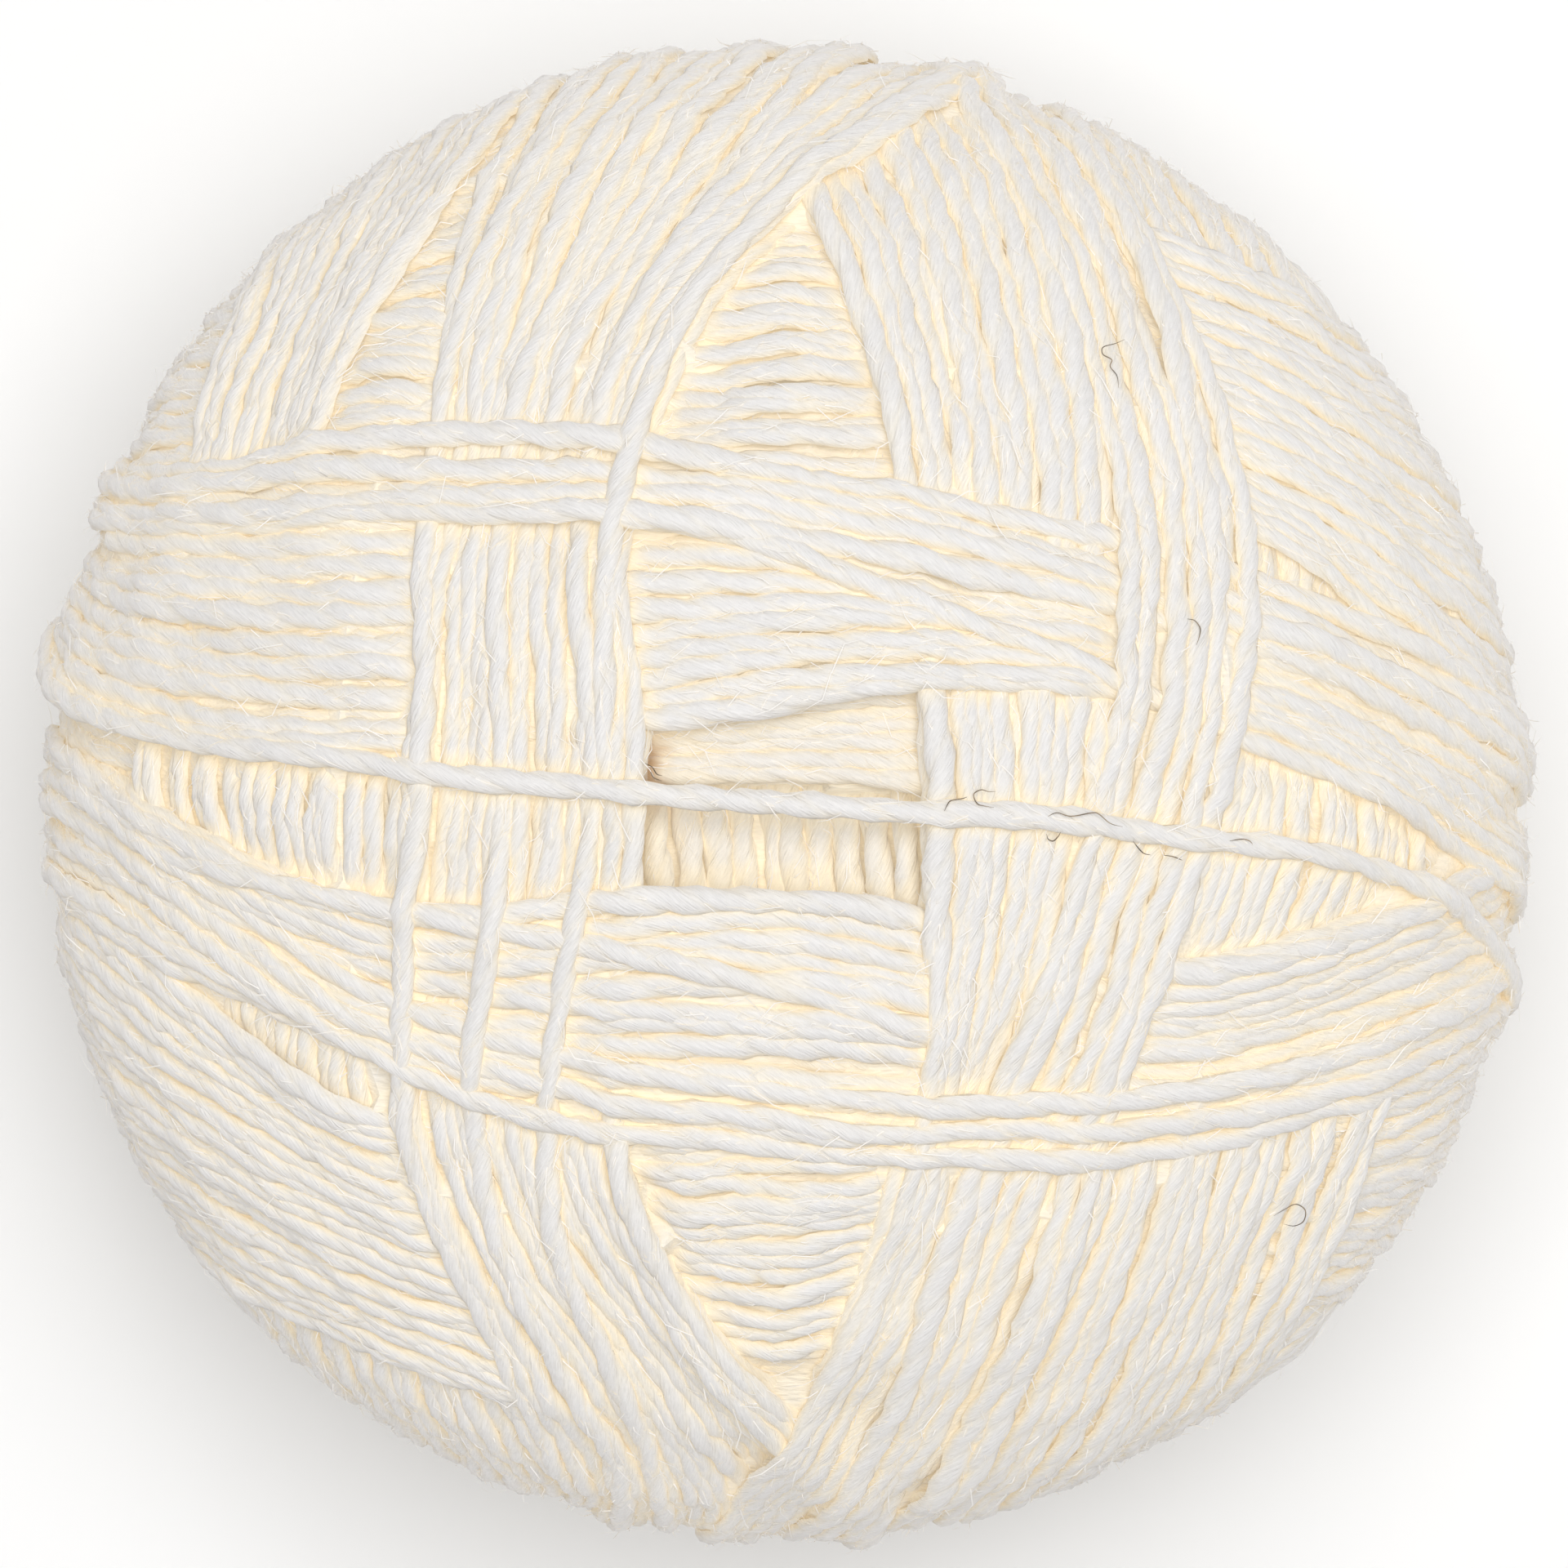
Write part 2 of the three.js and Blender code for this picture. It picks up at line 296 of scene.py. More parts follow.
TOUCH_PLACES = (-0.3, 0.0, 0.3)   # places across the yarn that rest on what is below
PULL_REACHES = (7, 5, 3, 1)       # points each way between which the yarn is pulled straight
PULLS = 3                         # times for each


def lay(turn, surface):
    """The radius at which a turn comes to rest on the surface, pulled straight along its length."""
    points = turn.directions * turn.radius[:, None]
    across = sideways(turn, points)
    contact = turn.radius
    for offset in TOUCH_PLACES:
        below = surface[cells(unit(points + across * offset))]
        contact = np.maximum(contact, below + crown(offset) - turn.sink)
    radius = contact
    for reach in PULL_REACHES:
        for _ in range(PULLS):
            points = turn.directions * radius[:, None]
            chord = (np.roll(points, reach, axis=0) + np.roll(points, -reach, axis=0)) / 2
            radius = np.maximum(contact, np.sum(chord * turn.directions, axis=1))
    return np.minimum(radius, resting_radius(turn.directions, YARN_UP))


STAMP_FINE = 2                              # stamps for each point of a turn
STAMP_PLACES = np.linspace(-0.64, 0.64, 9)  # places across the yarn


def stamp(turn, radius, surface, chosen):
    """Raise the surface to the top of the turn, where it is chosen."""
    count = len(radius)
    places = np.arange(count * STAMP_FINE) / STAMP_FINE
    low = places.astype(int) % count
    high = (low + 1) % count
    t = (places - places.astype(int))[:, None]
    points = turn.directions * radius[:, None]
    across = sideways(turn, points)
    points = points[low] * (1 - t) + points[high] * t
    across = across[low] * (1 - t) + across[high] * t
    keep = chosen[low]
    points, across = points[keep], across[keep]
    height = np.linalg.norm(points, axis=1)
    for offset in STAMP_PLACES:
        where = cells(unit(points + across * offset))
        np.maximum.at(surface, where, height + crown(offset))


NODES = 640              # spread evenly over the ball, at which the pile is weighed against its due height
NODE_REACH = 0.085       # radians over which a node is felt
NODE_COUNT = 7           # nearest nodes that a place heeds
CHUNKS = 24              # in which the map is worked through, to save memory
FLAT_SPOT = -0.86        # below this height on the unit ball, the pile is only pushed in
HOLLOW_AREA = 0.33       # the same within this distance of the axis, on the upper side


class Press:
    """Pushes the pile back to the nominal surface where it grows too tall, evenly over a few turns."""

    def __init__(self, directions):
        index = np.arange(NODES) + 0.5
        height = 1 - 2 * index / NODES
        turn = index * math.pi * (1 + 5 ** 0.5)
        level = np.sqrt(1 - height ** 2)
        nodes = np.stack([level * np.cos(turn), level * np.sin(turn), height], axis=1)
        near, weight = [], []
        for chunk in np.array_split(directions, CHUNKS):
            closeness = chunk @ nodes.T
            best = np.argpartition(-closeness, NODE_COUNT, axis=1)[:, :NODE_COUNT]
            angle = np.arccos(np.clip(np.take_along_axis(closeness, best, axis=1), -1, 1))
            bell = np.exp(-((angle / NODE_REACH) ** 2) / 2)
            near.append(best)
            weight.append(bell / bell.sum(axis=1, keepdims=True))
        self.near, self.weight = np.concatenate(near), np.concatenate(weight)
        rows = np.arange(len(directions))
        self.home = self.near[rows, np.argmax(self.weight, axis=1)]
        self.size = np.maximum(1, np.bincount(self.home, minlength=NODES))
        self.limit = np.minimum(nominal_radius(nodes), resting_radius(nodes, 0.0))
        by_hollow = (nodes[:, 2] > 0) & (np.hypot(nodes[:, 0], nodes[:, 1]) < HOLLOW_AREA)
        self.fixed = (nodes[:, 2] < FLAT_SPOT) | by_hollow

    def shift(self, surface):
        average = np.bincount(self.home, surface, minlength=NODES) / self.size
        excess = average - self.limit
        excess = np.where(self.fixed, np.maximum(excess, 0), excess)
        return np.sum(self.weight * excess[self.near], axis=1)


CORE_DEPTH = 3.4            # of the ball's core below its nominal surface, before any turn is laid
HOLLOW_DEPTH = 6.5          # how much deeper that is in the hollow
HOLLOW_MOUTH = (0.25, 0.17)  # half the hollow's length and width, on the unit ball
HOLLOW_CORNERS = 4          # exponent of its outline, 2 being an ellipse


def make_turns():
    """The turns in the order of their bands, and the layers in which they are laid."""
    turns, layers = [], []
    for band in BANDS:
        row = []
        for index in range(band.turns):
            share = index / max(1, band.turns - 1)
            loose = rng.uniform(-LOOSE, LOOSE, len(STATIONS)) if band.turns > 1 else 0.0
            offsets = np.array(band.first) * (1 - share) + np.array(band.last) * share + loose
            row.append(Turn(band, offsets))
        if band.turns >= FEW_TURNS:
            fill_room(row)
        turns += row
        if band.start == band.end:
            layers.append((band.start, "both", row))
        else:
            layers += [(band.start, "before", row), (band.end, "after", row)]
    layers.sort(key=lambda layer: layer[0])
    return turns, layers


def wind():
    """Lay every turn in order. Returns the turns with their radii, and the final surface."""
    turns, layers = make_turns()
    directions = map_directions()
    surface = nominal_radius(directions) - CORE_DEPTH
    out = (directions[:, :2] / HOLLOW_MOUTH) ** HOLLOW_CORNERS
    surface[(out.sum(axis=1) < 1) & (directions[:, 2] > 0)] -= HOLLOW_DEPTH
    press = Press(directions)
    laid = []
    for _, half, row in layers:
        under = surface.copy()
        for index, turn in enumerate(row):
            radius = lay(turn, under) + LAY_STEP * index + turn.lift
            chosen = {"before": turn.share <= 0.5, "after": turn.share > 0.5, "both": turn.share >= 0}[half]
            stamp(turn, radius, surface, chosen)
            laid.append((turn, half, radius))
        shift = press.shift(surface)
        surface -= shift
        for turn, _, radius in laid:
            radius -= shift[turn.cells]
    for turn in turns:
        turn.radius = np.zeros(POINTS)
    for turn, half, radius in laid:
        turn.radius += radius * {"before": 1 - turn.share, "after": turn.share, "both": 1.0}[half]
    for turn in turns:
        turn.radius = np.minimum(turn.radius, resting_radius(turn.directions, YARN_UP))
    return turns, surface


turns, surface = wind()

FILLER_DEPTH = 0.62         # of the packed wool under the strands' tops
GAP_CELLS = 3               # cells of the surface map each way that a filled gap may have
# Cells by which the packed wool keeps back from the bands' edges, in three versions: to tell which strands
# are buried, to be shown as filler, and to be shown by the hollow.
DRAWN_IN = (1, 3, 8)


def packed_surfaces():
    """The surface with the gaps between strands filled, drawn in by each number of cells."""
    closed = spread(spread(surface, GAP_CELLS, np.maximum), GAP_CELLS, np.minimum)
    return [spread(closed, cells_in, np.minimum) - FILLER_DEPTH for cells_in in DRAWN_IN]


packed, filled, filled_deep = packed_surfaces()

# Painted shade: points that lie below the wool around them, in the gaps between strands and in the hollow, take
# a warmer, deeper colour.
CREVICE_REACH = 2           # cells of the surface map over which higher wool shades what is beside it
CREVICE_START = 0.12        # depth below the wool around at which the painted shade starts to warm the colour
CREVICE_FULL = 0.85
CREVICE_SHADE = 0.42
HOLLOW_REACH = 14           # the same for the hollow and the windows between bands
HOLLOW_START = 1.5
HOLLOW_FULL = 4.5
HOLLOW_SHADE = 0.32

# Maps that are read later: the tops of the strands, the wool close around, far around, and the even ball.
strand_tops = spread(surface, 1, np.maximum)
near_top = blurred(spread(surface, CREVICE_REACH, np.maximum), 1)
wide_top = blurred(spread(surface, HOLLOW_REACH, np.maximum), 3)
even_surface = blurred(surface, 5)


def painted_crevice_shade(vertices):
    """How deep a point lies in the gaps between strands: 0 on top, and 1 well down. It is used as painted
    shade, which warms and deepens the colour there.
    """
    spot, height = cells(unit(vertices)), np.linalg.norm(vertices, axis=1)
    depth, below = near_top[spot] - height, wide_top[spot] - height
    narrow = np.clip((depth - CREVICE_START) / (CREVICE_FULL - CREVICE_START), 0, 1)
    wide = np.clip((below - HOLLOW_START) / (HOLLOW_FULL - HOLLOW_START), 0, 1)
    return CREVICE_SHADE * narrow + HOLLOW_SHADE * wide


DEBRIS_SHADOW_SPOT = (-7.3, 1.3)     # where the hollow shows a brown spot: dark debris in the wool, with painted shadow where a strand's edge overhangs it
DEBRIS_SHADOW_SIZE = 1.5
DEBRIS_SHADOW_STRENGTH = 1.6         # over 1, so that the middle of the spot is evenly dark
DEBRIS_SHADOW_FADE = 0.5             # depth above the even surface over which the spot fades


def debris_and_shadow_share(vertices, depth):
    """How much of the spot's brown, partly dark debris and partly painted shadow, a point takes: only deep in
    the hollow, close to the spot.
    """
    away = np.hypot(vertices[:, 0] - DEBRIS_SHADOW_SPOT[0], vertices[:, 1] - DEBRIS_SHADOW_SPOT[1])
    deep = np.clip((depth + DEBRIS_SHADOW_FADE) / DEBRIS_SHADOW_FADE, 0, 1) * (vertices[:, 2] > 0)
    return np.minimum(DEBRIS_SHADOW_STRENGTH * np.exp(-(away / DEBRIS_SHADOW_SIZE) ** 2), 1) * deep


def add_mesh(name, vertices, faces, attributes, material):
    """A smooth mesh of vertices about the ball's centre, all faces having as many corners."""
    mesh = bpy.data.meshes.new(name)
    mesh.vertices.add(len(vertices))
    places = np.ascontiguousarray((vertices + CENTRE) * MM, dtype=np.float32)
    mesh.vertices.foreach_set("co", places.ravel())
    mesh.loops.add(faces.size)
    mesh.loops.foreach_set("vertex_index", faces.astype(np.int32).ravel())
    mesh.polygons.add(len(faces))
    starts = np.arange(0, faces.size, faces.shape[1], dtype=np.int32)
    mesh.polygons.foreach_set("loop_start", starts)
    mesh.polygons.foreach_set("use_smooth", np.ones(len(faces), dtype=bool))
    mesh.update(calc_edges=True)
    for key, values in attributes.items():
        kind, field = ("FLOAT_VECTOR", "vector") if values.ndim == 2 else ("FLOAT", "value")
        layer = mesh.attributes.new(key, kind, "POINT")
        layer.data.foreach_set(field, values.astype(np.float32).ravel())
    mesh.materials.append(material)
    mesh.validate()
    piece = bpy.data.objects.new(name, mesh)
    bpy.context.collection.objects.link(piece)
    return piece


def joined(parts):
    """Several meshes as one, each given as its vertices and faces."""
    starts = np.cumsum([0] + [len(vertices) for vertices, _ in parts])
    faces = [faces + start for (_, faces), start in zip(parts, starts)]
    return np.concatenate([vertices for vertices, _ in parts]), np.concatenate(faces)


SHORTEST_RUN = 4            # points of a stretch that is worth drawing
COVER_PLACES = (-0.8, -0.4, 0.0, 0.4, 0.8)   # places across the yarn that must be covered for it to be buried
COVER_SHARE = 1.1           # of the yarn's half height, above its middle, that they must be covered to
EXTRA_SHIFTS = (-2, -1, 1, 2)   # by which a stretch is drawn out over the points beside it


def visible_runs(turn):
    """Stretches of the turn that aren't buried, as lists of point indices."""
    points = turn.directions * turn.radius[:, None]
    across = sideways(turn, points)
    covers = [packed[cells(unit(points + across * offset))] for offset in COVER_PLACES]
    shown = np.min(covers, axis=0) < turn.radius + YARN_UP * COVER_SHARE
    for shift in EXTRA_SHIFTS:
        shown = shown | np.roll(shown, shift)
    if shown.all():
        return [np.append(np.arange(POINTS), 0)]
    first = int(np.argmin(shown))
    order = (np.arange(POINTS) + first) % POINTS
    runs = np.split(order, np.flatnonzero(np.diff(shown[order])) + 1)
    return [run for run in runs if shown[run[0]] and len(run) >= SHORTEST_RUN]


PLY_PITCH = 7.4
PLY_SHIFT = 0.23            # of the yarn's half width, from its middle to the middle of a ply
ROUND = np.linspace(0, 2 * math.pi, 11)
SHOWN_ARC = np.radians(np.linspace(-20, 200, 7))
# Slow waves along the yarn: (amount, millimetres for a radian, how the wave shifts from turn to turn).
UNEVEN_TWIST = ((0.5, 7.1, 1), (0.4, 3.3, 2.1))
SLUBS = ((0.05, 2.3, 1), (0.06, 5.3, 2.2), (0.05, 13.7, 1.3))
# Fine unevenness of the surface: (millimetres from wave to wave, waves round the yarn, amount).
TUFTS = ((1.3, 1, 0.05), (0.9, 2, 0.05), (1.9, -2, 0.045))
THREAD_APART = 41.0         # millimetres by which turns are apart in the textures


def wavering(length, number, waves, start):
    """The start with slow waves along the yarn added."""
    return sum((amount * np.sin(length / reach + shift * number) for amount, reach, shift in waves), start)


def tube(turn, run, twist_start, number, angle):
    """One stretch of two-ply yarn: rings of points, its quads, and each point's place in the twisted yarn."""
    points = turn.directions[run] * turn.radius[run][:, None]
    tangent = unit(np.gradient(points, axis=0))
    across = unit(np.cross(turn.directions[run], tangent))
    up = np.cross(tangent, across)
    length = np.append(0, np.cumsum(np.linalg.norm(np.diff(points, axis=0), axis=1)))
    uneven = wavering(length, number, UNEVEN_TWIST, 0.0)
    twist = twist_start + 2 * math.pi * length / PLY_PITCH + uneven
    turned = angle[None, :] - twist[:, None]
    ply = 1 - PLY_SHIFT
    lobe = PLY_SHIFT * np.abs(np.cos(turned)) + np.sqrt(ply ** 2 - (PLY_SHIFT * np.sin(turned)) ** 2)
    tufts = np.zeros_like(turned)
    for waves, spokes, most in TUFTS:
        phase = 2 * math.pi * length[:, None] / waves + spokes * angle
        tufts += most * np.sin(phase + rng.uniform(*PHASE))
    lobe = lobe * (wavering(length, number, SLUBS, 1.0)[:, None] + tufts)
    ring = (
        points[:, None, :]
        + across[:, None, :] * (turn.half[run][:, None] * lobe * np.cos(angle))[:, :, None]
        + up[:, None, :] * (YARN_UP * lobe * np.sin(angle))[:, :, None]
    )
    along = np.broadcast_to((length + THREAD_APART * number)[:, None], lobe.shape)
    place = np.stack([along, lobe * np.cos(turned), lobe * np.sin(turned)], axis=2)
    return ring.reshape(-1, 3), ring_quads(len(run), len(angle)), place.reshape(-1, 3)


def ring_quads(rings, sides):
    """The quads between rings of points that follow each other."""
    base = np.arange(rings - 1)[:, None] * sides + np.arange(sides - 1)[None, :]
    return np.stack([base, base + 1, base + 1 + sides, base + sides], axis=2).reshape(-1, 4)


def above_floor(vertices):
    """The vertices, none of them lower than the wool may come."""
    vertices[:, 2] = np.maximum(vertices[:, 2], LOWEST - CENTRE_HEIGHT)
    return vertices


PIECE_QUADS = 88000         # about as many as one piece holds
SUNK_SHADE = 0.2            # how much painted shade each millimetre below the even surface adds to the colour


def build_yarn(material):
    batches, batch, size = [], [], 0
    for number, turn in enumerate(turns):
        for run in visible_runs(turn):
            stretch = tube(turn, run, rng.uniform(*PHASE), number, ROUND if turn.single else SHOWN_ARC)
            batch.append(stretch)
            size += len(stretch[1])
        if size > PIECE_QUADS or number == len(turns) - 1:
            batches.append(batch)
            batch, size = [], 0
    pieces = []
    for index, batch in enumerate(batches):
        vertices, quads = joined([(ring, faces) for ring, faces, _ in batch])
        vertices = above_floor(vertices)
        sunk = even_surface[cells(unit(vertices))] - np.linalg.norm(vertices, axis=1)
        # shade is painted shade: from the crevices, and from the depth below the even surface.
        attributes = {
            "yarn": np.concatenate([place for _, _, place in batch]),
            "shade": np.clip(painted_crevice_shade(vertices) + np.maximum(sunk, 0) * SUNK_SHADE, 0, 1),
            "debris_and_shadow": debris_and_shadow_share(vertices, sunk),
        }
        pieces.append(add_mesh(f"wool_yarn_{index + 1}", vertices, quads, attributes, material))
    return pieces


FILLER_CELLS = 84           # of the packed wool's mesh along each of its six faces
FILLER_GRAIN = 0.8          # scale of the yarn's texture where there is no strand to follow
FILLER_ABOVE = 0.2          # how far it keeps above the surface that the ball rests on
HOLLOW_ROOM = (11.0, 9.0)   # how far from the axis it is drawn in further under the bands' edges


def build_filler(material):
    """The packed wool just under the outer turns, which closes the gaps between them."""
    ticks = np.tan(np.linspace(-1, 1, FILLER_CELLS + 1) * math.pi / 4)
    sides = [grid.ravel() for grid in np.meshgrid(ticks, ticks, indexing="ij")]
    row = FILLER_CELLS + 1
    corner = np.arange(FILLER_CELLS)[:, None] * row + np.arange(FILLER_CELLS)[None, :]
    loop = [corner, corner + row, corner + row + 1, corner + 1]
    parts = []
    for major in range(3):
        for sign in (1, -1):
            directions = np.zeros((row ** 2, 3))
            directions[:, major] = sign
            directions[:, (major + 1) % 3], directions[:, (major + 2) % 3] = sides
            directions = unit(directions)
            aside = np.abs(directions[:, :2] * HALF_HEIGHT)
            by_hollow = np.all(aside < HOLLOW_ROOM, axis=1) & (directions[:, 2] > 0)
            radius = np.where(by_hollow, filled_deep[cells(directions)], filled[cells(directions)])
            radius = np.minimum(radius, resting_radius(directions, FILLER_ABOVE))
            parts.append((directions * radius[:, None], np.stack(loop[::sign], axis=2).reshape(-1, 4)))
    vertices, quads = joined(parts)
    attributes = {
        "yarn": vertices * FILLER_GRAIN, "shade": painted_crevice_shade(vertices), "debris_and_shadow": debris_and_shadow_share(vertices, 1.0),
    }
    return add_mesh("packed_wool", vertices, quads, attributes, material)


FIBRES = 48000
FIBRE_HALF = 0.03           # half of a fibre's width at its root
FIBRE_RUN = 8               # a stretch of yarn bears fibres where it has more points than this
FIBRE_SCATTER = 0.4         # along the yarn, either way from a point
FIBRE_LEAN = 1.3            # radians from straight out at which it may leave the yarn, to either side
FIBRE_ROOT = 0.93           # of the way from the yarn's middle to its surface
FIBRE_STRAY = 0.55          # how much it turns away from the yarn's direction
FIBRE_SHAPE, FIBRE_SCALE, FIBRE_LONGEST = 3.0, 0.5, 3.2   # of the random lengths
RISE_SCALE, RISE_MOST, RISE_LEAST = 0.1, 0.5, 0.04        # of the height in the middle of a fibre
FIBRE_BEND = 0.12           # sideways, for each millimetre of length
TIP_RISE = 0.9              # of the rise that is left at the tip
FIBRE_TAPER = 0.8           # of the width that is left in the middle


def build_fibres(material):
    """Fine fibres that stand a little off the yarn: each leaves it, bends over and ends in a point."""
    sources = [(turn, run) for turn in turns for run in visible_runs(turn) if len(run) > FIBRE_RUN]
    lengths = np.array([len(run) for _, run in sources], float)
    counts = rng.multinomial(FIBRES, lengths / lengths.sum())
    roots, ways, outs = [], [], []
    for (turn, run), count in zip(sources, counts):
        at = run[rng.integers(1, len(run) - 1, count)]
        out = turn.directions[at]
        here = out * turn.radius[at][:, None]
        after = (at + 1) % POINTS
        tangent = unit(turn.directions[after] * turn.radius[after][:, None] - here)
        across = unit(np.cross(out, tangent))
        here = here + tangent * rng.uniform(-FIBRE_SCATTER, FIBRE_SCATTER, count)[:, None]
        lean = rng.uniform(-FIBRE_LEAN, FIBRE_LEAN, count)[:, None]
        half = turn.half[at][:, None]
        on_side = across * half * np.sin(lean) * FIBRE_ROOT
        roots.append(here + on_side + out * YARN_UP * np.cos(lean) * FIBRE_ROOT)
        sense = rng.choice([-1.0, 1.0], count)[:, None]
        ways.append(tangent * sense + across * rng.normal(0, FIBRE_STRAY, count)[:, None])
        outs.append(out * np.cos(lean) + across * np.sin(lean))
    roots, ways, outs = np.concatenate(roots), unit(np.concatenate(ways)), np.concatenate(outs)
    reach = np.minimum(rng.gamma(FIBRE_SHAPE, FIBRE_SCALE, FIBRES), FIBRE_LONGEST)[:, None]
    lift = np.minimum(rng.exponential(RISE_SCALE, FIBRES), RISE_MOST)[:, None] + RISE_LEAST
    side = unit(np.cross(ways, outs))
    bend = side * rng.normal(0, FIBRE_BEND, FIBRES)[:, None] * reach
    middle = roots + ways * reach * 0.5 + outs * lift + bend
    tip = roots + ways * reach + outs * (lift * TIP_RISE - reach ** 2 / (2 * HALF_WIDTH))
    half = side * FIBRE_HALF
    corners = [roots + half, roots - half, middle + half * FIBRE_TAPER, middle - half * FIBRE_TAPER, tip]
    vertices = above_floor(np.stack(corners, axis=1).reshape(-1, 3))
    first = np.arange(FIBRES)[:, None] * len(corners)
    faces = np.concatenate([first + [0, 1, 3], first + [0, 3, 2], first + [2, 3, 4]])
    return add_mesh("wool_fuzz", vertices, faces, {}, material)


# The few dark hairs of the fleece, as places seen from the camera, in millimetres from the ball's axis.
DARK_HAIRS = [
    ((9.1, -0.8), (9.3, -0.4), (9.5, -0.2), (10.1, -0.1), (10.4, 0.0)),
    ((12.0, 0.3), (11.6, 0.3), (11.2, 0.4), (10.8, 0.2), (10.8, -0.1), (11.0, -0.4), (11.3, -0.5),
     (11.9, -0.6)),
    ((15.0, -1.1), (15.5, -0.9), (16.3, -1.1), (17.5, -0.9), (17.9, -1.0), (18.5, -1.5), (19.2, -1.7)),
    ((14.9, -2.1), (15.0, -2.4), (15.3, -2.5), (15.6, -2.2), (15.7, -2.0)),
    ((19.8, -2.5), (20.1, -2.9), (20.4, -3.2), (20.8, -3.3)),
    ((21.5, -3.3), (22.1, -3.4), (22.6, -3.6)),
    ((25.3, -2.5), (26.0, -2.4), (26.4, -2.5), (26.6, -2.7)),
    ((19.3, 25.9), (18.8, 25.7), (18.1, 25.5), (18.1, 25.1), (18.6, 24.8), (18.5, 24.4), (18.9, 23.9),
     (19.0, 23.2)),
    ((27.8, -23.8), (28.4, -23.4), (29.0, -23.1), (29.5, -23.4), (29.4, -24.0), (28.9, -24.3),
     (28.3, -24.2)),
    ((22.9, 10.1), (23.3, 10.0), (23.6, 9.6), (23.6, 9.2), (23.4, 8.6)),
    ((-7.9, 1.9), (-7.5, 1.7), (-7.2, 1.3), (-6.9, 1.2)),
    ((-7.6, 1.5), (-7.4, 1.1), (-6.9, 0.9)),
]
HAIR_HALF = 0.035           # half of its thickness
HAIR_ABOVE = 0.08           # how far its middle stands out from the wool
HAIR_DROOP = 0.5            # how far a stiff hair follows the wool down into a gap
HAIR_STEPS, HAIR_SIDES = 5, 5
HAIR_TIP = 0.08             # least share of the fullness that a tip keeps
ROUNDS = 6                  # in which the height of a place is found


def above_wool(x, y):
    """The point over this place in the camera's view at which a hair lies on the wool."""
    z = HALF_HEIGHT
    for _ in range(ROUNDS):
        nearer = 1 - z / CAMERA_DISTANCE
        direction = unit(np.array([[x * nearer, y * nearer, max(z, 1.0)]]))
        radius = strand_tops[cells(direction)][0] + HAIR_ABOVE
        z = math.sqrt(max(1.0, radius ** 2 - (x * nearer) ** 2 - (y * nearer) ** 2))
    return np.array([x * nearer, y * nearer, z])


def hair(places):
    """A hair that tapers to both ends, through places seen from the camera: its points and quads."""
    knots = np.array([above_wool(x, y) for x, y in places])
    top = knots[:, 2].max()
    knots[:, 2] = top - np.minimum(top - knots[:, 2], HAIR_DROOP)
    padded = np.concatenate([[2 * knots[0] - knots[1]], knots, [2 * knots[-1] - knots[-2]]])
    middles = []
    for i in range(len(knots) - 1):
        a, b, c, d = padded[i:i + 4]
        for t in np.arange(HAIR_STEPS) / HAIR_STEPS:
            middles.append(b + t * (c - a) / 2 + t ** 2 * (a - 2.5 * b + 2 * c - d / 2)
                           + t ** 3 * (-a + 3 * b - 3 * c + d) / 2)
    middles = np.array(middles + [knots[-1]])
    along = unit(np.gradient(middles, axis=0))
    side = unit(np.cross(along, unit(middles)))
    up = np.cross(side, along)
    share = np.linspace(0, 1, len(middles))
    half = HAIR_HALF * np.sqrt(np.clip(np.sin(math.pi * share), HAIR_TIP, 1))
    angle = np.linspace(0, 2 * math.pi, HAIR_SIDES + 1)
    ring = (
        middles[:, None, :]
        + side[:, None, :] * (half[:, None] * np.cos(angle))[:, :, None]
        + up[:, None, :] * (half[:, None] * np.sin(angle))[:, :, None]
    )
    return ring.reshape(-1, 3), ring_quads(len(middles), len(angle))


def build_hairs(material):
    vertices, quads = joined([hair(places) for places in DARK_HAIRS])
    return add_mesh("dark_hairs", vertices, quads, {"yarn": vertices * FILLER_GRAIN}, material)


class Shading:
    """A material, and short ways to add nodes to it. A value may be a number, a colour or an output."""

    def __init__(self, name, **values):
        self.material = bpy.data.materials.new(name)
        self.material.use_nodes = True
        self.nodes = self.material.node_tree.nodes
        self.surface({key.replace("_", " "): value for key, value in values.items()})

    def feed(self, node, values):
        for key, value in values.items():
            if isinstance(value, bpy.types.NodeSocket):
                self.material.node_tree.links.new(value, node.inputs[key])
            else:
                node.inputs[key].default_value = value

    def surface(self, values):
        self.feed(self.nodes["Principled BSDF"], values)

    def add(self, kind, values, **settings):
        node = self.nodes.new("ShaderNode" + kind)
        for key, value in settings.items():
            setattr(node, key, value)
        self.feed(node, values)
        return node

    def attribute(self, name, output):
        return self.add("Attribute", {}, attribute_name=name).outputs[output]

    def math(self, operation, *values):
        return self.add("Math", dict(enumerate(values)), operation=operation).outputs["Value"]

    def ranged(self, value, source, target, kind="LINEAR"):
        """The value carried over from one range to the other."""
        values = {"Value": value, "From Min": source[0], "From Max": source[1],
                  "To Min": target[0], "To Max": target[1]}
        return self.add("MapRange", values, interpolation_type=kind).outputs["Result"]

    def ramp(self, value, first, last, *between):
        """A colour that runs through stops, each a place and a colour."""
        node = self.add("ValToRGB", {"Fac": value})
        elements = node.color_ramp.elements
        for element, (place, color) in zip(elements, (first, last)):
            element.position, element.color = place, color
        for place, color in between:
            elements.new(place).color = color
        return node.outputs["Color"]

    def noise(self, vector, scale, stretch=None, **values):
        if stretch:
            vector = self.add("Mapping", {"Vector": vector, "Scale": stretch}).outputs["Vector"]
        return self.add("TexNoise", {"Vector": vector, "Scale": scale, **values}).outputs["Fac"]


